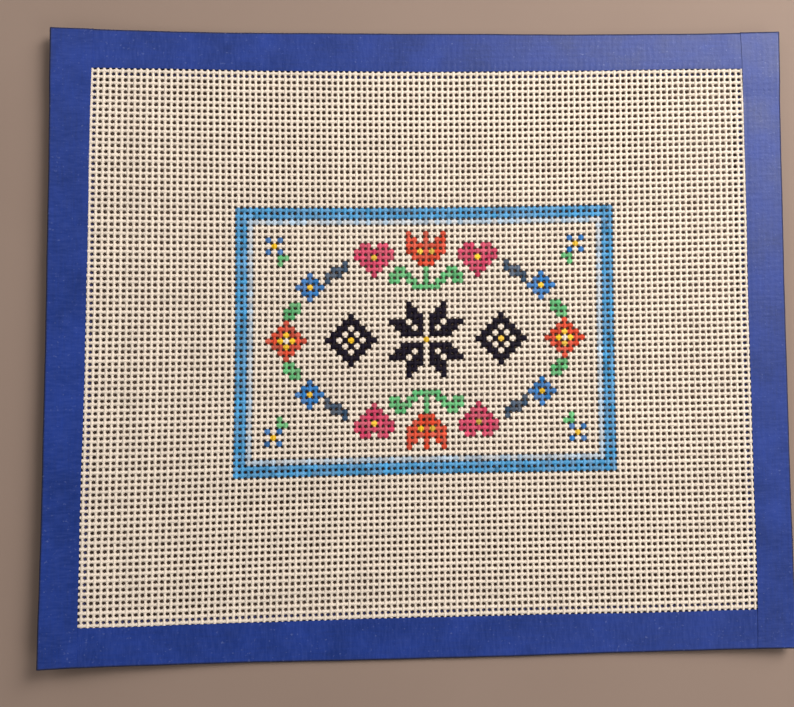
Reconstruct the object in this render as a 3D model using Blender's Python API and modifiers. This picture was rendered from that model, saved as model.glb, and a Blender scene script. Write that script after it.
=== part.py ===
"""Needlepoint canvas panel: a sheet of open mono canvas with its four cut edges bound in folded tape.

The panel lies face up on a surface. Its middle lies flat and its two ends curl up a little.
X runs along the long sides, Y along the short ones and Z up. The origin is on the surface, under
the middle of the panel. Every size below is in millimetres.
"""

import math
from collections import namedtuple

import bmesh
import bpy
from mathutils import Matrix, Vector

MM = 0.001

# Driving dimensions
CANVAS_THICK = 1.0
TAPE_THICK = 1.0
GAP = 0.3  # between pieces that touch
BACK_REACH = 2.0  # how much further in the tape reaches on the back than on the face

# The panel's sides, going clockwise round its face from the top. turn brings a side that runs along
# +X and faces +Y to its place. Its folded outer edge and the inner edge of the tape on its face are
# distances from the panel's centre, at the side's start, middle and end. Strips that run over lie
# across the whole side, and the other two end at them.
Side = namedtuple("Side", "name turn half_run runs_over outer inner")
SIDES = (
    Side("top", 0, 122.0, False, outer=(103.0, 102.9, 102.8), inner=(90.5, 89.45, 90.55)),
    Side("right", -90, 102.5, True, outer=(122.15, 120.7, 119.85), inner=(108.95, 107.85, 107.25)),
    Side("bottom", 180, 122.0, False, outer=(101.9, 102.95, 101.6), inner=(89.65, 89.15, 89.4)),
    Side("left", 90, 102.5, True, outer=(122.15, 120.85, 120.35), inner=(109.7, 107.65, 107.5)),
)

# How high each end of the panel curls off the surface, at its top, middle and bottom
CURL_LEFT = (3.2, 3.6, 4.6)
CURL_RIGHT = (2.4, 2.0, 2.6)
FLAT_HALF = 40.0  # the panel lies flat for this far to either side of its middle
END_HALF = 122.0  # how far out the curl reaches its full height
SIDE_HALF = 102.5

# Inside the tape the canvas comes down onto the surface
RAMP_START = 7.0  # from the back tape's inner edge
RAMP_LENGTH = 14.0

# Steps of the meshes
CANVAS_STEPS = (36, 30)  # along X and Y
LONG_STEPS = 28  # along a top or bottom strip
SHORT_STEPS = 12  # along a left or right strip
FLANGE_STEPS = 2
FOLD_STEPS = 6

# Worked out from the above
STACK = CANVAS_THICK + 2 * TAPE_THICK + 2 * GAP  # from the back of the folded tape to its face
FOLD_RADIUS = STACK / 2
CANVAS_BED = TAPE_THICK + GAP  # the canvas's underside, inside the fold
CANVAS_INSET = FOLD_RADIUS + GAP  # from the panel's outer edge to the canvas's cut edge

BLUE_TAPE = (0.028, 0.053, 0.330)
CREAM_COTTON = (0.760, 0.660, 0.500)


def along(values, share):
    """The value at a share of -1 to 1, on a smooth line through those at the start, middle and end."""
    start, middle, end = values
    return middle + share * (end - start) / 2 + share**2 * ((start + end) / 2 - middle)


def smooth_step(share):
    """0 below a share of 0 and 1 above 1, with a smooth rise between."""
    share = min(max(share, 0.0), 1.0)
    return share * share * (3 - 2 * share)


def edge_at(side, edge, run):
    """How far out a side's outer or inner edge is, at a distance along it from its middle."""
    return along(getattr(side, edge), run / side.half_run)


def seen_from(side, x, y):
    """A place on the panel as the distance along a side and the distance out towards it."""
    return Matrix.Rotation(-math.radians(side.turn), 2) @ Vector((x, y))


def curl(x, y):
    """How high the panel's underside is off the surface, which it leaves towards its two ends."""
    high = along(CURL_LEFT if x < 0 else CURL_RIGHT, -y / SIDE_HALF)
    return high * (max(abs(x) - FLAT_HALF, 0.0) / (END_HALF - FLAT_HALF)) ** 2


def over_tape(x, y):
    """1 where the canvas lies over the tape's back, falling to 0 where it lies on the surface."""
    on_surface = 1.0
    for side in SIDES:
        run, out = seen_from(side, x, y)
        inside = edge_at(side, "inner", run) - BACK_REACH - out
        on_surface *= smooth_step((inside - RAMP_START) / RAMP_LENGTH)
    return 1.0 - on_surface


def finish(name, bm, thickness, offset, material, turn=0):
    """Makes a sheet into a solid piece of the panel, turned to its place."""
    mesh = bpy.data.meshes.new(name)
    bmesh.ops.scale(bm, verts=bm.verts, vec=Vector((MM, MM, MM)))
    bm.to_mesh(mesh)
    bm.free()
    mesh.materials.append(material)
    mesh.shade_smooth()
    piece = bpy.data.objects.new(name, mesh)
    panel_pieces.objects.link(piece)
    piece.rotation_euler.z = math.radians(turn)
    piece.parent = panel
    solidify = piece.modifiers.new("thickness", "SOLIDIFY")
    solidify.thickness = thickness * MM
    solidify.offset = offset
    solidify.use_even_offset = True
    return piece


def make_canvas():
    """The canvas: one flat sheet, modelled by its underside, a little smaller than the panel."""
    bm = bmesh.new()
    bmesh.ops.create_grid(bm, x_segments=CANVAS_STEPS[0], y_segments=CANVAS_STEPS[1], size=1)
    top, right, bottom, left = SIDES
    for vertex in bm.verts:
        across, up = vertex.co.xy
        x_nominal, y_nominal = across * END_HALF, up * SIDE_HALF
        x_low = -edge_at(left, "outer", y_nominal) + CANVAS_INSET
        x_high = edge_at(right, "outer", -y_nominal) - CANVAS_INSET
        y_low = -edge_at(bottom, "outer", -x_nominal) + CANVAS_INSET
        y_high = edge_at(top, "outer", x_nominal) - CANVAS_INSET
        x = x_low + (x_high - x_low) * (across + 1) / 2
        y = y_low + (y_high - y_low) * (up + 1) / 2
        vertex.co = (x, y, CANVAS_BED * over_tape(x, y) + curl(x, y))
    return finish("canvas", bm, CANVAS_THICK, 1, canvas_material)


def tape_section(share):
    """A point of the folded tape's outside, for a share of 0 on its face to 1 on its back.

    It is given as the share of the flange's width that it is in from the fold, how far in from the
    panel's outer edge the flange or the fold is there, its height, and whether it is on the back.
    """
    step = round(share * (2 * FLANGE_STEPS + FOLD_STEPS))
    if step < FLANGE_STEPS:
        return 1 - step / FLANGE_STEPS, FOLD_RADIUS, STACK, False
    if step > FLANGE_STEPS + FOLD_STEPS:
        return (step - FLANGE_STEPS - FOLD_STEPS) / FLANGE_STEPS, FOLD_RADIUS, 0.0, True
    round_fold = (step - FLANGE_STEPS) / FOLD_STEPS
    angle = math.pi * (0.5 - round_fold)
    inset = FOLD_RADIUS * (1 - math.cos(angle))
    return 0.0, inset, FOLD_RADIUS * (1 + math.sin(angle)), round_fold >= 0.5


def strip_end(side, neighbour, at, back):
    """How far a strip runs from its side's middle, towards a neighbouring side."""
    if side.runs_over:
        return edge_at(neighbour, "outer", at)
    return edge_at(neighbour, "inner", at) - back * BACK_REACH - GAP


def make_tape(place):
    """A strip of tape folded over one side of the panel, modelled by its outside."""
    side = SIDES[place]
    before, after = SIDES[place - 1], SIDES[(place + 1) % len(SIDES)]
    bm = bmesh.new()
    steps = SHORT_STEPS if side.runs_over else LONG_STEPS
    bmesh.ops.create_grid(
        bm, x_segments=steps, y_segments=2 * FLANGE_STEPS + FOLD_STEPS, size=1
    )
    to_panel = Matrix.Rotation(math.radians(side.turn), 2)
    for vertex in bm.verts:
        run_share, section_share = (vertex.co.x + 1) / 2, (vertex.co.y + 1) / 2
        flange_share, inset, height, back = tape_section(section_share)
        nominal_run = vertex.co.x * side.half_run
        outer = edge_at(side, "outer", nominal_run)
        width = outer - edge_at(side, "inner", nominal_run) + back * BACK_REACH
        out = outer - inset - flange_share * (width - FOLD_RADIUS)
        start = -strip_end(side, before, out, back)
        end = strip_end(side, after, -out, back)
        run = start + (end - start) * run_share
        x, y = to_panel @ Vector((run, out))
        vertex.co = (run, out, height + curl(x, y))
    return finish(f"tape_{side.name}", bm, TAPE_THICK, -1, tape_material, side.turn)


def make_material(name, colour, roughness):
    """A plain dull finish for one of the panel's two materials."""
    material = bpy.data.materials.new(name)
    material.use_nodes = True
    shader = material.node_tree.nodes["Principled BSDF"]
    shader.inputs["Base Color"].default_value = (*colour, 1.0)
    shader.inputs["Roughness"].default_value = roughness
    shader.inputs["Metallic"].default_value = 0.0
    return material


for old in list(bpy.data.objects):
    bpy.data.objects.remove(old)

panel_pieces = bpy.data.collections.new("needlepoint_canvas_panel")
bpy.context.scene.collection.children.link(panel_pieces)
panel = bpy.data.objects.new("panel", None)
panel_pieces.objects.link(panel)

canvas_material = make_material("canvas_cotton", CREAM_COTTON, 0.85)
tape_material = make_material("binding_tape", BLUE_TAPE, 0.55)

make_canvas()
for place in range(len(SIDES)):
    make_tape(place)
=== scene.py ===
import math
from collections import namedtuple

import bmesh
import bpy
import numpy as np
from mathutils import Matrix, Vector


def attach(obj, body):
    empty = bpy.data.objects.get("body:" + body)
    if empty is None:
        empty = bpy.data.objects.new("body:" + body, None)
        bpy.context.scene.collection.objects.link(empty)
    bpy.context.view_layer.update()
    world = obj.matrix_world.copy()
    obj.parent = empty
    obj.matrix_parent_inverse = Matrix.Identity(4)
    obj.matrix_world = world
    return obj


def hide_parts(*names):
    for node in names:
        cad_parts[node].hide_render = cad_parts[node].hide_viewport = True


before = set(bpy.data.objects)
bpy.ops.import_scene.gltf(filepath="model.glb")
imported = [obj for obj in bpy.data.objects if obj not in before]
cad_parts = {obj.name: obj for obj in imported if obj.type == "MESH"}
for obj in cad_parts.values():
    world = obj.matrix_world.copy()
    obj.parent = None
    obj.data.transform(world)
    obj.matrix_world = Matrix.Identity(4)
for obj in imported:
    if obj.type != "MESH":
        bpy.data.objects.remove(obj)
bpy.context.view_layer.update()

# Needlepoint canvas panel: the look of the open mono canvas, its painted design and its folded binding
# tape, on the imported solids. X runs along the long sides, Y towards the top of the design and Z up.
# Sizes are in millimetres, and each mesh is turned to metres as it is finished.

MM = 0.001
RNG = np.random.default_rng(13)

# ---- Sizes of the panel, as the solids have them ----

# The sides, going clockwise from the top. turn brings a side that runs along +X and faces +Y to its
# place. outer is the folded edge, in millimetres from the centre at the side's start, middle and end.
# inner is the edge of the tape on the face, which was laid along the threads, so it is given in threads.
Side = namedtuple("Side", "name turn half_run half_threads runs_over outer inner")
SIDES = (
    Side("top", 0, 122.0, 61, False, (103.0, 102.9, 102.8), (45.50, 45.43, 45.36)),
    Side("right", -90, 102.5, 51, True, (122.15, 120.7, 119.85), (55.12, 55.25, 55.37)),
    Side("bottom", 180, 122.0, 61, False, (101.9, 102.95, 101.6), (45.53, 45.38, 45.24)),
    Side("left", 90, 102.5, 51, True, (122.15, 120.85, 120.35), (56.51, 56.26, 56.01)),
)
BACK_REACH = 1.05  # how much further in the tape reaches on the back than on the face, in threads

# How high each end curls off the surface, at its top, middle and bottom
CURL_LEFT = (3.2, 3.6, 4.6)
CURL_RIGHT = (2.4, 2.0, 2.6)
FLAT_HALF = 40.0  # the panel lies flat for this far to either side of its middle
END_HALF = 122.0  # how far out the curl reaches its full height
SIDE_HALF = 102.5  # how far up and down from the middle the three heights of an end are
BOW = 1.6  # how high the canvas arches up in its middle
BOW_HALF = (108.0, 88.0)  # how far from the middle, along X and Y, the arch ends

# ---- Sizes of the weave ----

# Mono canvas of about 13 threads to the inch. Its threads are numbered from the middle of the design,
# columns to the right and rows upwards.
COLUMNS = (-62, 60)
ROWS = (-50, 51)
SEEN_COLUMNS = (-57, 56)  # those that show, and one more at each end
SEEN_ROWS = (-46, 46)
CUT_REACH = 0.3  # how far the cut threads run past the last one that they cross, in threads

MIDDLE = (0.94, -0.02)  # where the threads numbered 0 cross
COLUMN_STEP = 1.8851
ROW_STEP = 1.9276
COLUMN_LEAN = 0.0219  # the columns' shift to the right for each row up
ROW_RISE = 0.0054  # the rows' rise for each column to the right
OPENING = 0.0440  # share by which the weave opens at 100 mm from the middle
CLOSING = 0.0137  # and by which it draws together again further out
# How far the threads bend at 100 mm from the middle: all alike, and more towards the canvas's sides
COLUMNS_BEND = (-0.07, -0.32)
ROWS_BEND = (0.31, -0.81)
SOLVE_ROUNDS = 6  # for the thread at a place, or the place of an edge laid along the threads

COLUMN_WIDE = 0.86
ROW_WIDE = 1.00
THREAD_HIGH = 0.85
# Painted shade darkens the threads' sides down between the threads, less where one is pressed on another
SHADED_SIDE_TONE = 0.0  # how much of a thread's light tone is left at its sides
SHADED_CROSSING_TONE = 0.60  # and where it is pressed against the thread that it crosses
PAINT_BUILD = {"D": 1.30}  # how much wider the paint makes a thread, by its letter
THIN_PAINT_BUILD = 1.08
THREAD_SIDES = 6
WAVE_HIGH = 0.04  # how far a thread rises and falls from the canvas's own middle
LEVEL_REACH = 0.27  # how far each side of a crossing a thread lies level, in threads
# The starch flattens each thread on the one it crosses and fills the corners of the holes
CROSSING_SPREAD = 1.35
CROSSING_PRESS = 0.88
UNEVEN = 0.07  # how much a thread's width differs along it
THREAD_SPREAD = 0.03  # and from thread to thread
THREAD_TONES = (0.79, 0.95)  # how light a thread is, at least and at most
WANDER = 0.05  # how far a thread strays sideways
# Slow and quick waves: each one's share, and the threads or millimetres in which it moves on by a radian
STRAY_WAVES = ((0.6, 2.7), (0.4, 1.1))
RAGGED_WAVES = ((0.65, 9.0), (0.35, 3.1))
BANDS = 5  # the canvas is made in this many strips side by side
# Rings of a thread's stretch under the tape, and of a column and a row that lie wholly under it
TAPED_RINGS = 4
HIDDEN_COLUMN_RINGS = 24
HIDDEN_ROW_RINGS = 12

TAPE_THICK = 0.12
FLOOR_GAP = 0.03
FLAT_TOP = math.cos(math.pi / THREAD_SIDES)  # a thread's flat top and bottom, as a share of its height
CANVAS_HALF = WAVE_HIGH + THREAD_HIGH / 2 * CROSSING_PRESS * FLAT_TOP
RISE_REACH = 4.5  # how far inside the tape the canvas comes down to the surface, in threads
SINK_EDGE = 0.07  # how far the tape sinks beside each crossing at its inner edge
SINK = 0.025  # and further out
SINK_REACH = 3.0  # how far out it sinks more
SINK_START = 1.5  # how far in from the fold it sinks in full
FOLD_SLACK = 1.2  # from the fold to a tucked-in strip's end
FOLD_INSET = 1.0  # how far in from the folded edge its heights are taken
TIGHTEST_FOLD = 1.1 * TAPE_THICK  # radius to which a strip's end is pressed
TURN_WIDTH = 1.0  # the tape's width that goes round the fold
# How ragged the tape's edges are on the face and on the back, and its fold
FACE_RAGGED = 0.08
BACK_RAGGED = 0.25
FOLD_RAGGED = 0.05


def along(values, share):
    """The value at a share of -1 to 1, on a smooth line through those at the start, middle and end."""
    start, middle, end = values
    return middle + share * (end - start) / 2 + share**2 * ((start + end) / 2 - middle)


def smooth_step(share):
    """0 below a share of 0 and 1 above 1, with a smooth rise between."""
    share = np.clip(share, 0.0, 1.0)
    return share * share * (3 - 2 * share)


def two_waves(places, phases, waves):
    """A slow and a quick wave along a thread or an edge, added up."""
    return sum(share * np.sin(places / reach + phase) for (share, reach), phase in zip(waves, phases))


def turned(x, y, degrees):
    """A place in plan, turned about the centre."""
    angle = math.radians(degrees)
    return x * math.cos(angle) - y * math.sin(angle), x * math.sin(angle) + y * math.cos(angle)


def curl(x, y):
    """How high the panel's underside is off the surface, which it leaves towards its two ends."""
    high = np.where(x < 0, along(CURL_LEFT, -y / SIDE_HALF), along(CURL_RIGHT, -y / SIDE_HALF))
    return high * (np.maximum(np.abs(x) - FLAT_HALF, 0.0) / (END_HALF - FLAT_HALF)) ** 2


def weave_at(column, row):
    """Where a place of the weave lies in plan. Whole columns and rows are crossings."""
    x = MIDDLE[0] + COLUMN_STEP * column + COLUMN_LEAN * row
    y = MIDDLE[1] + ROW_STEP * row + ROW_RISE * column
    wide, high = x / 100, y / 100
    far = wide**2 + high**2
    opening = 1 + OPENING * far - CLOSING * far**2
    x_bend = (COLUMNS_BEND[0] + COLUMNS_BEND[1] * wide) * high**2
    y_bend = (ROWS_BEND[0] + ROWS_BEND[1] * high) * wide**2
    return x * opening + x_bend, y * opening + y_bend


def threads_at(x, y):
    """The column and row of the weave at a place in plan, the reverse of weave_at."""
    column, row = x / COLUMN_STEP, y / ROW_STEP
    for _ in range(SOLVE_ROUNDS):
        x_there, y_there = weave_at(column, row)
        column = column + (x - x_there) / COLUMN_STEP
        row = row + (y - y_there) / ROW_STEP
    return column, row


def inside_tape(side, column, row):
    """How far a place of the weave lies inside a side's tape on the face, in threads."""
    run, out = turned(column, row, -side.turn)
    return along(side.inner, run / side.half_threads) - out


def over_tape(column, row, runs_over):
    """1 where the canvas lies on the back of one pair of strips, falling to 0 inside them."""
    pair = [side for side in SIDES if side.runs_over == runs_over]
    inside = np.minimum(*[inside_tape(side, column, row) for side in pair])
    return smooth_step(1 - (inside - BACK_REACH) / RISE_REACH)


def bow(x, y):
    """How far the stiff canvas arches up between its taped sides, across the way in which it curls."""
    return BOW * np.maximum(1 - (x / BOW_HALF[0]) ** 2, 0.0) * np.maximum(1 - (y / BOW_HALF[1]) ** 2, 0.0)


def canvas_middle(column, row):
    """The height of the canvas's own middle at a place of the weave."""
    x, y = weave_at(column, row)
    layers = over_tape(column, row, True) + over_tape(column, row, False)
    return curl(x, y) + bow(x, y) + FLOOR_GAP + CANVAS_HALF + TAPE_THICK * layers


def finish_piece(piece, node):
    """Rides a piece on the body, in place of its solid."""
    bpy.context.scene.collection.objects.link(piece)
    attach(piece, "root")
    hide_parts(node)


# ---- Materials ----


def linear(hex_colour):
    """An sRGB hex colour as linear red, green, blue and an alpha of 1."""
    shares = [int(hex_colour[i : i + 2], 16) / 255 for i in (1, 3, 5)]
    return (*[s / 12.92 if s <= 0.04045 else ((s + 0.055) / 1.055) ** 2.4 for s in shares], 1.0)


def add_node(tree, kind, values=(), links=(), **settings):
    """Adds a node with its settings, its inputs' values and the outputs that its inputs are linked to."""
    node = tree.nodes.new(kind)
    for name, value in settings.items():
        setattr(node, name, value)
    for socket, value in dict(values).items():
        node.inputs[socket].default_value = value
    for socket, (source, output) in dict(links).items():
        tree.links.new(source.outputs[output], node.inputs[socket])
    return node


def new_material(name, **shader_values):
    """A material with its Principled shader, whose constants are set on its own sockets."""
    material = bpy.data.materials.new(name)
    material.use_nodes = True
    tree = material.node_tree
    shader = tree.nodes["Principled BSDF"]
    for socket, value in shader_values.items():
        shader.inputs[socket.replace("_", " ")].default_value = value
    return material, tree, shader


MIX_A, MIX_B, MIX_RESULT = 6, 7, 2  # the Mix node's colour sockets
# Scales at which the wave texture has one band to a unit, along an axis and diagonally
AXIS_BANDS = 2 * math.pi / 20
DIAGONAL_BANDS = 2 * math.pi / 10


def make_cotton():
    """Sized cotton canvas: hard-twisted cream threads, stiff with starch, painted by hand with acrylic.

    The starch gives the threads a faint shine, and the paint covers their upper sides unevenly.
    """
    material, tree, shader = new_material("sized_cotton_canvas", Specular_IOR_Level=0.12)
    place = add_node(tree, "ShaderNodeTexCoord")
    mottle = add_node(
        tree, "ShaderNodeTexNoise", {"Scale": 1 / (9 * MM), "Detail": 3.0}, {"Vector": (place, "Object")}
    )
    tone = add_node(tree, "ShaderNodeAttribute", attribute_name="tone")
    tone_and_shade_factor = add_node(
        tree, "ShaderNodeMath", {1: 0.20}, {0: (mottle, "Fac"), 2: (tone, "Fac")}, operation="MULTIPLY_ADD"
    )
    # The threads' own tone and mottle, and painted shade that darkens their sides to brown down between the
    # threads
    depth = add_node(
        tree,
        "ShaderNodeMix",
        {MIX_A: linear("#2e1a0c"), MIX_B: (1.0, 1.0, 1.0, 1.0)},
        {"Factor": (tone_and_shade_factor, 0)},
        data_type="RGBA",
    )
    paint = add_node(tree, "ShaderNodeAttribute", attribute_name="paint")
    # Brush marks are finer than a thread here, about 0.8 mm
    strokes = add_node(
        tree, "ShaderNodeTexNoise", {"Scale": 1 / (0.8 * MM), "Detail": 2.0}, {"Vector": (place, "Object")}
    )
    cover = add_node(
        tree,
        "ShaderNodeMapRange",
        {"From Min": 0.25, "From Max": 0.60, "To Min": 0.98, "To Max": 1.0},
        {"Value": (strokes, "Fac")},
    )
    coverage = add_node(
        tree, "ShaderNodeMath", (), {0: (paint, "Alpha"), 1: (cover, "Result")}, operation="MULTIPLY"
    )
    colour = add_node(
        tree,
        "ShaderNodeMix",
        {MIX_A: linear("#faecdb")},
        {"Factor": (coverage, 0), MIX_B: (paint, "Color")},
        data_type="RGBA",
    )
    shaded = add_node(
        tree,
        "ShaderNodeMix",
        {"Factor": 1.0},
        {MIX_A: (colour, MIX_RESULT), MIX_B: (depth, MIX_RESULT)},
        data_type="RGBA",
        blend_type="MULTIPLY",
    )
    tree.links.new(shaded.outputs[MIX_RESULT], shader.inputs["Base Color"])
    rough = add_node(
        tree, "ShaderNodeMapRange", {"To Min": 0.75, "To Max": 0.62}, {"Value": (coverage, 0)}
    )
    tree.links.new(rough.outputs["Result"], shader.inputs["Roughness"])
    # Twist: three plies wind round the thread, 0.45 mm apart along it
    run = add_node(tree, "ShaderNodeUVMap", uv_map="thread")
    plies = add_node(
        tree, "ShaderNodeMapping", {"Scale": (1 / 0.45, 3.0, 1.0)}, {"Vector": (run, "UV")}
    )
    twist = add_node(
        tree,
        "ShaderNodeTexWave",
        {"Scale": DIAGONAL_BANDS, "Distortion": 0.6, "Detail": 1.0},
        {"Vector": (plies, "Vector")},
        wave_type="BANDS",
        bands_direction="DIAGONAL",
    )
    bump = add_node(
        tree, "ShaderNodeBump", {"Strength": 0.2, "Distance": 0.06 * MM}, {"Height": (twist, "Fac")}
    )
    tree.links.new(bump.outputs["Normal"], shader.inputs["Normal"])
    return material


def make_tape_face():
    """Self-adhesive cloth tape, royal blue: a fine weave under a thin coat, dull with a soft sheen."""
    material, tree, shader = new_material("blue_cloth_tape", Specular_IOR_Level=0.55)
    run = add_node(tree, "ShaderNodeUVMap", uv_map="tape")
    place = add_node(tree, "ShaderNodeTexCoord")
    # The dye is cloudy, in patches of some 12 mm, and streaky along the cloth's threads both ways. Each
    # way's streaks have their own strength, and their size along and across the tape in millimetres.
    clouds = add_node(
        tree, "ShaderNodeTexNoise", {"Scale": 1 / (12 * MM), "Detail": 5.0}, {"Vector": (place, "Object")}
    )
    streaks, streaky = [], clouds
    for share, long, wide in ((0.45, 6.0, 0.7), (0.35, 0.7, 4.0)):
        stretched = add_node(
            tree, "ShaderNodeMapping", {"Scale": (1 / long, 1 / wide, 1.0)}, {"Vector": (run, "UV")}
        )
        streaks.append(
            add_node(
                tree, "ShaderNodeTexNoise", {"Scale": 1.0, "Detail": 3.0}, {"Vector": (stretched, "Vector")}
            )
        )
        streaky = add_node(
            tree,
            "ShaderNodeMath",
            {1: share},
            {0: (streaks[-1], 0), 2: (streaky, 0)},
            operation="MULTIPLY_ADD",
        )
    shade = add_node(
        tree, "ShaderNodeMapRange", {"From Min": 0.65, "From Max": 1.15}, {"Value": (streaky, 0)}
    )
    blue = add_node(
        tree,
        "ShaderNodeMix",
        {MIX_A: linear("#0b2e7c"), MIX_B: linear("#113998")},
        {"Factor": (shade, "Result")},
        data_type="RGBA",
    )
    # Painted shade: the tape is darker along the fold over the panel's edge, in the last 0.8 mm
    from_edge = add_node(tree, "ShaderNodeAttribute", attribute_name="edge")
    fold_shade = add_node(
        tree,
        "ShaderNodeMapRange",
        {"From Min": 0.35, "From Max": 0.85, "To Min": 0.92, "To Max": 0.0},
        {"Value": (from_edge, "Fac")},
        interpolation_type="SMOOTHSTEP",
    )
    fold_shaded = add_node(
        tree,
        "ShaderNodeMix",
        {MIX_B: linear("#060f36")},
        {"Factor": (fold_shade, "Result"), MIX_A: (blue, MIX_RESULT)},
        data_type="RGBA",
    )
    # The coat is crinkled, which shows where the light catches it: wrinkles about 1 mm long
    crinkles = add_node(
        tree,
        "ShaderNodeTexNoise",
        {"Scale": 1 / (1.0 * MM), "Detail": 3.0, "Roughness": 0.6, "Distortion": 0.4},
        {"Vector": (place, "Object")},
    )
    # Lint and scuffs, and painted glints of sheen: light specks about 0.6 mm across
    lint_and_glints = add_node(
        tree, "ShaderNodeTexNoise", {"Scale": 1 / (0.9 * MM), "Detail": 2.0}, {"Vector": (place, "Object")}
    )
    specks = add_node(
        tree,
        "ShaderNodeMapRange",
        {"From Min": 0.65, "From Max": 0.80, "To Max": 0.30},
        {"Value": (lint_and_glints, "Fac")},
    )
    # Its threads across the tape are rubbed paler than the others
    rubbed = add_node(
        tree,
        "ShaderNodeMapRange",
        {"From Min": 0.40, "From Max": 0.75, "To Max": 0.05},
        {"Value": (streaks[1], "Fac")},
    )
    wear_and_glints = add_node(
        tree, "ShaderNodeMath", (), {0: (specks, "Result"), 1: (rubbed, "Result")}, operation="ADD"
    )
    dust_and_glints = add_node(
        tree,
        "ShaderNodeMix",
        {MIX_B: linear("#8d9cd2")},
        {"Factor": (wear_and_glints, 0), MIX_A: (fold_shaded, MIX_RESULT)},
        data_type="RGBA",
    )
    tree.links.new(dust_and_glints.outputs[MIX_RESULT], shader.inputs["Base Color"])
    rough = add_node(
        tree,
        "ShaderNodeMapRange",
        {"From Min": 0.3, "From Max": 0.7, "To Min": 0.46, "To Max": 0.56},
        {"Value": (clouds, "Fac")},
    )
    duller = add_node(
        tree,
        "ShaderNodeMath",
        {1: 0.4},
        {0: (fold_shade, "Result"), 2: (rough, "Result")},
        operation="MULTIPLY_ADD",
    )
    tree.links.new(duller.outputs[0], shader.inputs["Roughness"])
    # The cloth has a thread each 0.5 mm, which the coat all but fills
    weft = add_node(
        tree, "ShaderNodeMapping", {"Scale": (1 / 0.5, 1 / 0.5, 1.0)}, {"Vector": (run, "UV")}
    )
    ribs = [
        add_node(
            tree,
            "ShaderNodeTexWave",
            {"Scale": AXIS_BANDS, "Distortion": 2.5, "Detail": 2.0, "Detail Scale": 0.7},
            {"Vector": (weft, "Vector")},
            wave_type="BANDS",
            bands_direction=way,
        )
        for way in ("X", "Y")
    ]
    cloth = add_node(
        tree, "ShaderNodeMath", (), {0: (ribs[0], "Fac"), 1: (ribs[1], "Fac")}, operation="MAXIMUM"
    )
    weave_bump = add_node(
        tree, "ShaderNodeBump", {"Strength": 0.12, "Distance": 0.04 * MM}, {"Height": (cloth, 0)}
    )
    crinkle_bump = add_node(
        tree,
        "ShaderNodeBump",
        {"Strength": 0.35, "Distance": 0.15 * MM},
        {"Height": (crinkles, "Fac"), "Normal": (weave_bump, "Normal")},
    )
    tree.links.new(crinkle_bump.outputs["Normal"], shader.inputs["Normal"])
    return material


def make_tape_back():
    """The tape's gummed side: a smooth grey-violet film of glue that the canvas is pressed into."""
    material, tree, shader = new_material("tape_glue_film", Specular_IOR_Level=0.3)
    place = add_node(tree, "ShaderNodeTexCoord")
    patches = add_node(
        tree, "ShaderNodeTexNoise", {"Scale": 1 / (3 * MM), "Detail": 3.0}, {"Vector": (place, "Object")}
    )
    film = add_node(
        tree,
        "ShaderNodeMix",
        {MIX_A: linear("#3d3f74"), MIX_B: linear("#5c5c8c")},
        {"Factor": (patches, "Fac")},
        data_type="RGBA",
    )
    tree.links.new(film.outputs[MIX_RESULT], shader.inputs["Base Color"])
    rough = add_node(
        tree, "ShaderNodeMapRange", {"To Min": 0.45, "To Max": 0.60}, {"Value": (patches, "Fac")}
    )
    tree.links.new(rough.outputs["Result"], shader.inputs["Roughness"])
    return material


# ---- The painted design ----

# Colours of the paint, by the letter that the charts use
PAINTS = {
    "F": "#4a9fd6",
    "f": "#b6d0e6",
    "R": "#e04a2c",
    "P": "#d8446a",
    "B": "#2b7cc4",
    "Y": "#f8c61e",
    "G": "#62c07c",
    "S": "#33506c",
    "D": "#120a20",
}

# The least and most that a crossing is covered by most paints, and by the two that differ
COVER = (0.9, 1.0)
COVERS = {"f": (0.50, 1.0), "D": (1.0, 1.0)}
SOAKED = 0.6  # how much of that reaches a thread's underside
SHADE_SPREAD = 0.12  # how much the paint's shade differs from crossing to crossing
BrushLoad = namedtuple("BrushLoad", "shade cover")

# Charts, one letter to a crossing
MOTIFS = {
    "tulip": (
        "R..R..R",
        "RR.R.RR",
        "RRRRRRR",
        "RRYRYRR",
        ".RRRRR.",
        "..RRR..",
        "...G...",
        "G..G..G",
        "GG.G.GG",
        ".GGGGG.",
    ),
    "heart": (".PP.PP.", "PPPPPPP", "PPPYPPP", ".PPPPP.", "..PPP..", "...P..."),
    "lozenge": ("...R...", "..RRR..", ".RRYRR.", "RRY.YRR", ".RRYRR.", "..RRR..", "...R..."),
    "lattice": ("..B..", ".BBB.", "BBYBB", ".BBB.", "..B.."),
    "saltire": ("B.B", ".Y.", "B.B"),
    "leaf": ("GG.", "GGG", ".GG"),
    "bud": ("GG", ".G"),
    "sprig": ("S...", "SSS.", ".SSS", "...S"),
    "crystal": (
        "....D....",
        "...DDD...",
        "..DD.DD..",
        ".DD.D.DD.",
        "DD.DYD.DD",
        ".DD.D.DD.",
        "..DD.DD..",
        "...DDD...",
        "....D....",
    ),
    "star": (
        "...D.....D...",
        "...DD...DD...",
        "...DDD.DDD...",
        "DDD.DD.DD.DDD",
        ".DDD.D.D.DDD.",
        "..DDDD.DDDD..",
        "......Y......",
        "..DDDD.DDDD..",
        ".DDD.D.D.DDD.",
        "DDD.DD.DD.DDD",
        "...DDD.DDD...",
        "...DD...DD...",
        "...D.....D...",
    ),
}

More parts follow.
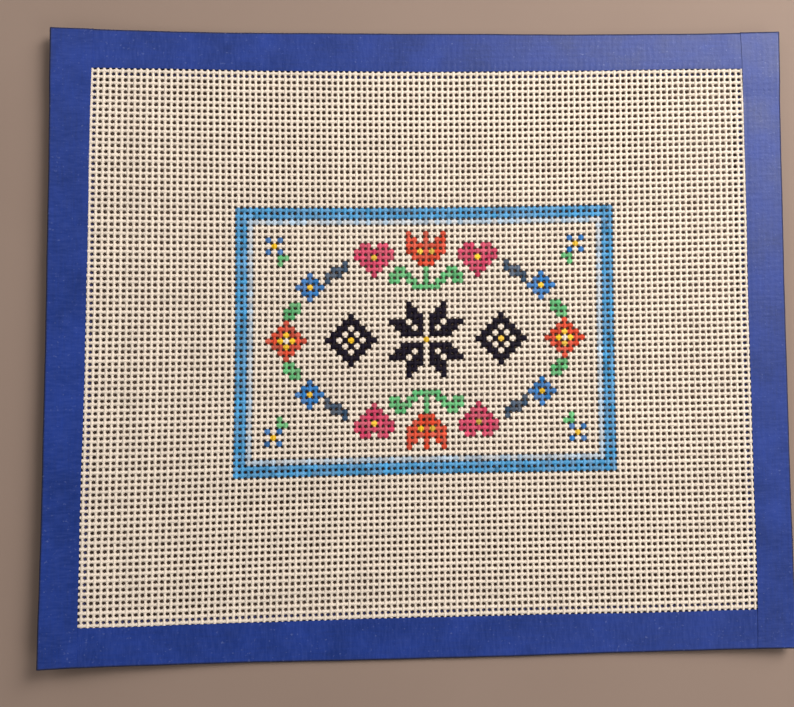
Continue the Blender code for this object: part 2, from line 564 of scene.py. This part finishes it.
# Each motif's middle in the upper right quarter. The other quarters mirror it.
Placed = namedtuple("Placed", "motif column row")
WREATH = (
    Placed("star", 0, 0),
    Placed("crystal", 13, 0),
    Placed("tulip", 0, 14),
    Placed("lozenge", 24, 0),
    Placed("heart", 9, 14),
    Placed("sprig", 15, 12),
    Placed("lattice", 20, 9),
    Placed("leaf", 23, 5),
    Placed("leaf", 5, 11),
    Placed("saltire", 26, 16),
    Placed("bud", 24, 14),
)
BORDER = (32, 22)  # the outermost painted column and row
BORDER_RINGS = ("F", "F", "f")  # going inwards


def painted_crossings():
    """The paint's letter at each painted crossing, by column and row."""
    crossings = {}
    for inwards, letter in enumerate(BORDER_RINGS):
        wide, high = BORDER[0] - inwards, BORDER[1] - inwards
        for column in range(-wide, wide + 1):
            for row in range(-high, high + 1):
                if abs(column) == wide or abs(row) == high:
                    crossings[column, row] = letter
    for motif, column, row in WREATH:
        chart = MOTIFS[motif]
        for down, line in enumerate(chart):
            for right, letter in enumerate(line):
                x = column + right - (len(line) - 1) // 2
                y = row - down + (len(chart) - 1) // 2
                if letter != ".":
                    for mirror_x in (-1, 1):
                        for mirror_y in (-1, 1):
                            crossings[mirror_x * x, mirror_y * y] = letter
    return crossings


# ---- The canvas ----


def thread_blank(rings):
    """A straight thread with closed ends, standing along Z, to be copied and laid in place."""
    bm = bmesh.new()
    bmesh.ops.create_cone(
        bm, cap_ends=True, segments=THREAD_SIDES, radius1=1, radius2=1, depth=rings - 1
    )
    lengthwise = [e for e in bm.edges if abs(e.verts[0].co.z - e.verts[1].co.z) > 0.5]
    bmesh.ops.subdivide_edges(bm, edges=lengthwise, cuts=rings - 2, use_grid_fill=True)
    for face in bm.faces:
        face.smooth = len(face.verts) == 4
        if not face.smooth:
            for edge in face.edges:
                edge.smooth = False
    blank = bpy.data.meshes.new("thread_blank")
    bm.to_mesh(blank)
    bm.free()
    return blank


def mesh_array(elements, name, width, kind=np.float32):
    """One property of all of a mesh's elements as an array."""
    values = np.empty(len(elements) * width, kind)
    elements.foreach_get(name, values)
    return values.reshape(-1, width) if width > 1 else values


Layout = namedtuple("Layout", "blank ring side corner_point corner_ring corner_face_side")


def read_blank(rings):
    """A blank with the ring and side of each point, and the stretch and side that each face corner is on."""
    blank = thread_blank(rings)
    places = mesh_array(blank.vertices, "co", 3)
    ring = np.rint(places[:, 2] + (rings - 1) / 2).astype(int)
    turn = np.arctan2(places[:, 1], places[:, 0]) / (2 * math.pi) * THREAD_SIDES
    side = np.rint(turn - turn[0]).astype(int) % THREAD_SIDES
    corner_point = mesh_array(blank.loops, "vertex_index", 1, np.int32)
    starts = mesh_array(blank.polygons, "loop_start", 1, np.int32)
    corner_face = np.repeat(np.arange(len(starts)), np.diff([*starts, len(corner_point)]))
    low_ring = np.minimum.reduceat(ring[corner_point], starts)
    # A face lies between a side and the next one, and the last lies between the last and the first
    face_sides = side[corner_point]
    low_side = np.minimum.reduceat(face_sides, starts)
    high_side = np.maximum.reduceat(face_sides, starts)
    low_side = np.where(high_side - low_side > 1, high_side, low_side)
    return Layout(
        blank,
        ring,
        side,
        corner_point,
        np.minimum(low_ring, rings - 2)[corner_face],
        low_side[corner_face],
    )


class Layouts(dict):
    """Blanks by their number of rings, made when first asked for."""

    def __missing__(self, rings):
        self[rings] = read_blank(rings)
        return self[rings]


def ring_places(first, last, before=None, after=None):
    """Where a thread's rings are along it, in threads: three to a crossing, and few under the tape.

    Without a place before or after these crossings, it starts or ends in the middle of one.
    """
    places = [first - 0.5]
    for crossing in range(first, last + 1):
        places += [crossing - LEVEL_REACH, crossing + LEVEL_REACH, crossing + 0.5]
    if before is None:
        places = [first, *[place for place in places if place > first]]
    else:
        places = [*np.linspace(before, first - 0.5, TAPED_RINGS)[:-1], *places]
    if after is None:
        places = [*[place for place in places if place < last], last]
    else:
        places += list(np.linspace(last + 0.5, after, TAPED_RINGS)[1:])
    return np.array(places)


Thread = namedtuple("Thread", "phases width tone")
NOT_WOVEN = (1, 0)  # the first and last crossing of a thread that crosses none
BAKE_MARGIN = 0.01  # round the map for baked colours


class Band:
    """One upright strip of the canvas, gathered thread by thread."""

    def __init__(self):
        self.bm = bmesh.new()
        self.points, self.paint, self.tone, self.runs, self.flat = [], [], [], [], []

    def lay(self, number, places, is_column, thread, woven):
        """Lays a thread along its places. It is woven from the first to the last crossing in woven."""
        layout = layouts[len(places)]
        drift = WANDER * two_waves(places, thread.phases, STRAY_WAVES)
        if is_column:
            column, row = number + drift / COLUMN_STEP, places
        else:
            column, row = places, number + drift / ROW_STEP
        x, y = weave_at(column, row)
        # Rings lie within LEVEL_REACH of a crossing, or half way to the next one
        crossing = np.rint(places)
        at_crossing = np.abs(places - crossing) < (LEVEL_REACH + 0.5) / 2
        inside = (crossing >= woven[0]) & (crossing <= woven[1])
        over = np.where((crossing + number) % 2 == is_column, -1.0, 1.0)
        wave = np.where(inside, over * at_crossing, 1.0 if is_column else -1.0)
        z = canvas_middle(column, row) + WAVE_HIGH * wave
        pressed = at_crossing & inside
        wide = COLUMN_WIDE if is_column else ROW_WIDE
        half_wide = wide / 2 * thread.width * np.where(pressed, CROSSING_SPREAD, 1.0)
        uneven = RNG.normal(1, UNEVEN, len(places))
        uneven[[0, -1]] = 1  # so that a thread goes on evenly from band to band
        half_wide *= uneven * self.built_up(number, crossing, is_column)
        half_high = THREAD_HIGH / 2 * np.where(pressed, CROSSING_PRESS, 1.0)
        self.shape(layout, np.stack([x, y, z], 1), half_wide, half_high)
        # The painted shade on the thread's sides, lighter where it is pressed on the thread that it crosses
        shaded_side_tone = np.where(pressed, SHADED_CROSSING_TONE, SHADED_SIDE_TONE)
        self.colour(layout, number, places, is_column, thread.tone, shaded_side_tone, np.stack([x, y], 1))

    @staticmethod
    def built_up(number, crossings, is_column):
        """How much wider the paint makes a thread at its crossings."""
        keys = [(number, int(c)) if is_column else (int(c), number) for c in crossings]
        letters = [painted.get(key) for key in keys]
        return np.array([PAINT_BUILD.get(letter, THIN_PAINT_BUILD) if letter else 1.0 for letter in letters])

    def shape(self, layout, middle, half_wide, half_high):
        """Copies the blank and moves its rings to their places."""
        self.bm.from_mesh(layout.blank)
        way = np.gradient(middle[:, :2], axis=0)
        way /= np.linalg.norm(way, axis=1)[:, None]
        across = np.stack([-way[:, 1], way[:, 0], np.zeros(len(way))], 1)
        angle = layout.side / THREAD_SIDES * 2 * math.pi
        points = middle[layout.ring]
        points += across[layout.ring] * (np.cos(angle) * half_wide[layout.ring])[:, None]
        points[:, 2] += np.sin(angle) * half_high[layout.ring]
        self.points.append(points)

    def colour(self, layout, number, places, is_column, tone, shaded_side_tone, plan):
        """Gives each face corner its paint and its place along and around the thread."""
        stretch = np.rint((places[:-1] + places[1:]) / 2).astype(int)
        paints = np.zeros((len(stretch), 4), np.float32)
        for index, crossing in enumerate(stretch):
            key = (number, crossing) if is_column else (crossing, number)
            letter = painted.get(key)
            if letter and abs(places[index] - crossing) <= 0.5:
                load = brush_load[key]
                paints[index, :3] = np.array(paint_colours[letter][:3]) * load.shade
                paints[index, 3] = load.cover
        height = np.sin(layout.side / THREAD_SIDES * 2 * math.pi)
        corner_paint = paints[layout.corner_ring]
        corner_paint[:, 3] *= np.interp(height[layout.corner_point], (-FLAT_TOP, 0.0), (SOAKED, 1.0))
        self.paint.append(corner_paint)
        # Each point's tone: the thread's own, darkened on its sides by painted shade
        top_share = np.minimum(np.abs(height) / FLAT_TOP, 1.0)
        self.tone.append(tone * (shaded_side_tone[layout.ring] * (1 - top_share) + top_share))
        length = np.concatenate([[0], np.cumsum(np.linalg.norm(np.diff(plan, axis=0), axis=1))])
        corner_side = layout.side[layout.corner_point]
        turn = layout.corner_face_side + (corner_side != layout.corner_face_side)
        ring = layout.ring[layout.corner_point]
        self.runs.append(np.stack([length[ring], turn / THREAD_SIDES], 1))
        # The map for baked colours: the face of the band on the left half, its back on the right
        upper = layout.corner_face_side < THREAD_SIDES / 2
        self.flat.append(np.concatenate([self.points[-1][layout.corner_point][:, :2], upper[:, None]], 1))

    def finish(self, name):
        """Makes the gathered threads one mesh."""
        mesh = bpy.data.meshes.new(name)
        self.bm.to_mesh(mesh)
        self.bm.free()
        mesh.vertices.foreach_set("co", (np.concatenate(self.points) * MM).astype(np.float32).ravel())
        paint = mesh.attributes.new("paint", "FLOAT_COLOR", "CORNER")
        paint.data.foreach_set("color", np.concatenate(self.paint).astype(np.float32).ravel())
        tone = mesh.attributes.new("tone", "FLOAT", "POINT")
        tone.data.foreach_set("value", np.concatenate(self.tone).astype(np.float32))
        runs = mesh.uv_layers.new(name="thread")
        runs.uv.foreach_set("vector", np.concatenate(self.runs).astype(np.float32).ravel())
        flat = np.concatenate(self.flat)
        low, high = flat[:, :2].min(0), flat[:, :2].max(0)
        share = (flat[:, :2] - low) / (high - low) * (1 - 2 * BAKE_MARGIN) + BAKE_MARGIN
        share[:, 0] = share[:, 0] / 2 + np.where(flat[:, 2] > 0, 0.0, 0.5)
        baked = mesh.uv_layers.new(name="OFBake")
        baked.uv.foreach_set("vector", share.astype(np.float32).ravel())
        mesh.materials.append(cotton)
        mesh.update()
        return bpy.data.objects.new(name, mesh), (high - low) * MM


def spin_threads(ends):
    """Each thread's own slight differences, by its number."""
    return {
        number: Thread(
            RNG.uniform(0, 2 * math.pi, 2), RNG.normal(1, THREAD_SPREAD), RNG.uniform(*THREAD_TONES)
        )
        for number in range(ends[0], ends[1] + 1)
    }


def band_edges():
    """The first and last column of each band. The outer bands also take the columns under the tape."""
    cuts = np.linspace(SEEN_COLUMNS[0], SEEN_COLUMNS[1] + 1, BANDS + 1).astype(int)
    return [(int(low), int(high) - 1) for low, high in zip(cuts[:-1], cuts[1:])]


def row_cut(column, row):
    """Where a row is parted between two bands: at the one of the two columns that covers it."""
    return column if (column + row) % 2 == 0 else column + 1


def make_band(place, first, last):
    """A strip of canvas with its columns, and the stretch of every row that crosses them."""
    band = Band()
    lowest = COLUMNS[0] if place == 0 else first
    highest = COLUMNS[1] if place == BANDS - 1 else last
    cut_rows = (ROWS[0] - CUT_REACH, ROWS[1] + CUT_REACH)
    before = COLUMNS[0] - CUT_REACH if place == 0 else None
    after = COLUMNS[1] + CUT_REACH if place == BANDS - 1 else None
    woven_places = ring_places(*SEEN_ROWS, *cut_rows)
    for number in range(lowest, highest + 1):
        seen = SEEN_COLUMNS[0] <= number <= SEEN_COLUMNS[1]
        places = woven_places if seen else np.linspace(*cut_rows, HIDDEN_COLUMN_RINGS)
        woven = SEEN_ROWS if seen else NOT_WOVEN
        band.lay(number, places, True, columns[number], woven)
    for number in range(ROWS[0], ROWS[1] + 1):
        seen = SEEN_ROWS[0] <= number <= SEEN_ROWS[1]
        if seen:
            start = first if before is not None else row_cut(first - 1, number)
            end = last if after is not None else row_cut(last, number)
            places, woven = ring_places(start, end, before, after), (start, end)
        else:
            start = first - 0.5 if before is None else before
            end = last + 0.5 if after is None else after
            places, woven = np.linspace(start, end, HIDDEN_ROW_RINGS), NOT_WOVEN
        band.lay(number, places, False, rows[number], woven)
    piece, size = band.finish(f"canvas_band_{place + 1}")
    finish_piece(piece, "canvas")
    float(size[0])
    float(size[1])


# ---- The binding tape ----

RUN_STEPS = 3  # to a thread, so that a point falls on each crossing
FACE_STEPS = 20
FOLD_STEPS = 6
BACK_STEPS = 6
END_OVER = TAPE_THICK  # how far a strip that runs over reaches past the folded edge that it covers
END_STEPS = 5  # of the last stretch at a strip's ends, where it bends round that edge
END_RUN = 0.7


def edge_out(side, run):
    """How far out the inner edge of the tape on the face lies, at a distance along its side."""
    out = along(side.inner, run / side.half_run) * (COLUMN_STEP if side.runs_over else ROW_STEP)
    for _ in range(SOLVE_ROUNDS):
        column, row = threads_at(*turned(run, out, side.turn))
        out = out + inside_tape(side, column, row) * ROW_STEP
    return out


def edge_end(neighbour, side, way):
    """How far along a side the folded edge of its neighbour lies."""
    at = along(side.outer, way) * -way
    return along(neighbour.outer, at / neighbour.half_run)


def tape_piles(side, column, row):
    """How far the tape's outside is off the canvas and off the surface, and how much of a strip it covers."""
    piled = over_tape(column, row, not side.runs_over)
    if side.runs_over:
        return TAPE_THICK * (1 + piled), 0.0, piled
    return TAPE_THICK, TAPE_THICK * piled, 0.0


def make_strip(place):
    """A strip of tape folded over one side of the panel, modelled by its outside."""
    side = SIDES[place]
    before, after = SIDES[place - 1], SIDES[(place + 1) % len(SIDES)]
    run_steps = 2 * side.half_threads * RUN_STEPS
    section_steps = FACE_STEPS + FOLD_STEPS + BACK_STEPS
    bm = bmesh.new()
    bmesh.ops.create_grid(
        bm, x_segments=run_steps + 2 * END_STEPS, y_segments=section_steps, size=1
    )
    for edge in bm.edges:
        edge.smooth = not edge.is_boundary
    mesh = bpy.data.meshes.new(f"tape_{side.name}")
    bm.to_mesh(mesh)
    bm.free()
    grid = mesh_array(mesh.vertices, "co", 3).astype(float)
    run_step = (grid[:, 0] + 1) / 2 * (run_steps + 2 * END_STEPS)
    step = np.rint((grid[:, 1] + 1) / 2 * section_steps)
    on_face = step <= FACE_STEPS
    on_back = step >= FACE_STEPS + FOLD_STEPS
    # Where it runs: out to the corners where it lies over, and into the fold of the next strip below
    slack = -END_OVER if side.runs_over else FOLD_SLACK
    start = slack - edge_end(before, side, -1)
    end = edge_end(after, side, 1) - slack
    steps = (0, END_STEPS, run_steps + END_STEPS, run_steps + 2 * END_STEPS)
    run = np.interp(run_step, steps, (start, start + END_RUN, end - END_RUN, end))
    face_phases, back_phases, fold_phases = RNG.uniform(0, 2 * math.pi, (3, 2))
    laid_edge = edge_out(side, run)
    face_edge = laid_edge + FACE_RAGGED * two_waves(run, face_phases, RAGGED_WAVES)
    back_edge = laid_edge - BACK_REACH * ROW_STEP + BACK_RAGGED * two_waves(run, back_phases, RAGGED_WAVES)
    outer = along(side.outer, run / side.half_run) + FOLD_RAGGED * two_waves(run, fold_phases, RAGGED_WAVES)
    # Heights of its outside on the face and on the back, at the fold
    x, y = turned(run, outer - FOLD_INSET, side.turn)
    column, row = threads_at(x, y)
    face_pile, back_pile, _ = tape_piles(side, column, row)
    fold_high = canvas_middle(column, row) + CANVAS_HALF + face_pile
    fold_low = curl(x, y) + FLOOR_GAP + back_pile
    radius = (fold_high - fold_low) / 2
    # A strip that runs over is pressed round the folded edge beneath it at its ends
    from_end = np.minimum(run - start, end - run)
    share = np.clip(1 - from_end / radius, 0, 1) if side.runs_over else 0.0
    pressed = np.minimum(radius * (1 - np.sqrt(1 - share**2)), radius - TIGHTEST_FOLD)
    # Across: from the inner edge on the face, out, round the fold and back in
    face_share = np.clip(step / FACE_STEPS, 0, 1)
    back_share = np.clip((step - FACE_STEPS - FOLD_STEPS) / BACK_STEPS, 0, 1)
    angle = np.clip((step - FACE_STEPS) / FOLD_STEPS, 0, 1) * math.pi
    out = outer - radius + radius * np.sin(angle)
    out = np.where(on_face, face_edge + (outer - radius - face_edge) * face_share, out)
    out = np.where(on_back, outer - radius + (back_edge - outer + radius) * back_share, out)
    x, y = turned(run, out, side.turn)
    column, row = threads_at(x, y)
    face_pile, back_pile, on_strip = tape_piles(side, column, row)
    beside = 2 - np.cos(2 * math.pi * column) - np.cos(2 * math.pi * row)
    sink = SINK + (SINK_EDGE - SINK) * (1 - on_strip) * smooth_step(1 - (out - face_edge) / SINK_REACH)
    sink *= smooth_step((outer - radius - out) / SINK_START)
    face_z = canvas_middle(column, row) + CANVAS_HALF + face_pile - sink * beside / 2
    back_z = curl(x, y) + FLOOR_GAP + back_pile
    fold_z = (fold_high + fold_low) / 2 + (radius - pressed) * np.cos(angle)
    z = np.where(on_face, face_z - pressed, np.where(on_back, back_z + pressed, fold_z))
    points = np.stack([x, y, z], 1) * MM
    mesh.vertices.foreach_set("co", points.astype(np.float32).ravel())
    # Along and across the tape in millimetres
    corner = mesh_array(mesh.loops, "vertex_index", 1, np.int32)
    across = np.where(on_face, outer - out, np.where(on_back, out - outer, 0.0))
    lengthwise = mesh.uv_layers.new(name="tape")
    lengthwise.uv.foreach_set(
        "vector", np.stack([run, across], 1)[corner].astype(np.float32).ravel()
    )
    # How far each point is from the panel's outer edge, in millimetres, which the painted shade along the
    # fold follows
    from_edge = np.abs(np.where(on_face | on_back, outer - out, 0.0))
    edge = mesh.attributes.new("edge", "FLOAT", "POINT")
    edge.data.foreach_set("value", np.minimum(from_edge, from_end).astype(np.float32))
    for material in (tape_face, tape_back):
        mesh.materials.append(material)
    mesh.shade_smooth()
    mesh.update()
    piece = bpy.data.objects.new(f"tape_strip_{side.name}", mesh)
    wall = piece.modifiers.new("thickness", "SOLIDIFY")
    wall.thickness = TAPE_THICK * MM
    wall.offset = -1
    wall.use_even_offset = True
    wall.material_offset = 1
    finish_piece(piece, f"tape_{side.name}")
    width = float((outer - face_edge).mean() + (outer - back_edge).mean() + TURN_WIDTH)
    length = end - start
    length * MM


# ---- Floor, light and camera ----

FLOOR_HALF = 1200.0


def make_floor():
    """A plain matt floor."""
    bm = bmesh.new()
    bmesh.ops.create_grid(bm, x_segments=1, y_segments=1, size=FLOOR_HALF * MM)
    mesh = bpy.data.meshes.new("floor")
    bm.to_mesh(mesh)
    bm.free()
    floor = bpy.data.objects.new("floor", mesh)
    bpy.context.scene.collection.objects.link(floor)
    material, tree, shader = new_material("matt_floor", Roughness=0.8)
    place = add_node(tree, "ShaderNodeTexCoord")
    mottle = add_node(
        tree, "ShaderNodeTexNoise", {"Scale": 1 / (60 * MM), "Detail": 4.0}, {"Vector": (place, "Object")}
    )
    tint = add_node(
        tree,
        "ShaderNodeMix",
        {MIX_A: linear("#968174"), MIX_B: linear("#9e897c")},
        {"Factor": (mottle, "Fac")},
        data_type="RGBA",
    )
    tree.links.new(tint.outputs[MIX_RESULT], shader.inputs["Base Color"])
    mesh.materials.append(material)


def make_lamp(name, place, size, power, colour):
    """A soft square lamp that shines on the panel's middle."""
    lamp = bpy.data.lights.new(name, "AREA")
    lamp.size = size * MM
    lamp.energy = power
    lamp.color = linear(colour)[:3]
    holder = bpy.data.objects.new(name, lamp)
    holder.location = Vector(place) * MM
    bpy.context.scene.collection.objects.link(holder)
    holder.rotation_euler = (-holder.location).to_track_quat("-Z", "Y").to_euler()


IMAGE_WIDTH = 794
FOCAL_PIXELS = 765.0
CAMERA_PLACE = (-18.34, -17.09, 251.02)
CAMERA_FORWARD = (0.03857, 0.05043, -0.99798)
CAMERA_UP = (0.01210, 0.99863, 0.05093)


def make_camera():
    """The camera, nearly straight above the panel."""
    lens = bpy.data.cameras.new("camera")
    lens.sensor_width = 36.0
    lens.lens = lens.sensor_width * FOCAL_PIXELS / IMAGE_WIDTH
    lens.clip_start = 0.01
    camera = bpy.data.objects.new("camera", lens)
    backward = -Vector(CAMERA_FORWARD).normalized()
    right = Vector(CAMERA_UP).cross(backward).normalized()
    up = backward.cross(right)
    camera.rotation_euler = Matrix((right, up, backward)).transposed().to_euler()
    camera.location = Vector(CAMERA_PLACE) * MM
    bpy.context.scene.collection.objects.link(camera)
    bpy.context.scene.camera = camera


# A soft window at the upper right, and lamps low on all sides, as round a copy stand. Each has its place,
# size, power and colour.
LAMPS = (
    ("window", (460, 400, 520), 430, 4.2, "#fffaf4"),
    ("side_lamp_1", (560, 530, 450), 450, 4.8, "#fffaf6"),
    ("side_lamp_2", (-560, 530, 450), 450, 1.4, "#fffaf6"),
    ("side_lamp_3", (560, -530, 450), 450, 1.6, "#fffaf6"),
    ("side_lamp_4", (-560, -530, 450), 450, 0.7, "#fffaf6"),
)
ROOM_LIGHT = 0.12


def light_scene():
    """The lamps, and a faint even light from the room."""
    for name, place, size, power, colour in LAMPS:
        make_lamp(name, place, size, power, colour)
    world = bpy.data.worlds.new("room")
    world.use_nodes = True
    background = world.node_tree.nodes["Background"]
    background.inputs["Color"].default_value = linear("#e8e6e4")
    background.inputs["Strength"].default_value = ROOM_LIGHT
    bpy.context.scene.world = world
    bpy.context.scene.view_settings.view_transform = "Standard"


cotton = make_cotton()
tape_face = make_tape_face()
tape_back = make_tape_back()
make_floor()

painted = painted_crossings()
paint_colours = {letter: linear(colour) for letter, colour in PAINTS.items()}
brush_load = {
    key: BrushLoad(RNG.normal(1, SHADE_SPREAD), RNG.uniform(*COVERS.get(letter, COVER)))
    for key, letter in painted.items()
}
layouts = Layouts()
columns, rows = spin_threads(COLUMNS), spin_threads(ROWS)
for place, (first, last) in enumerate(band_edges()):
    make_band(place, first, last)
for place in range(len(SIDES)):
    make_strip(place)
light_scene()
make_camera()
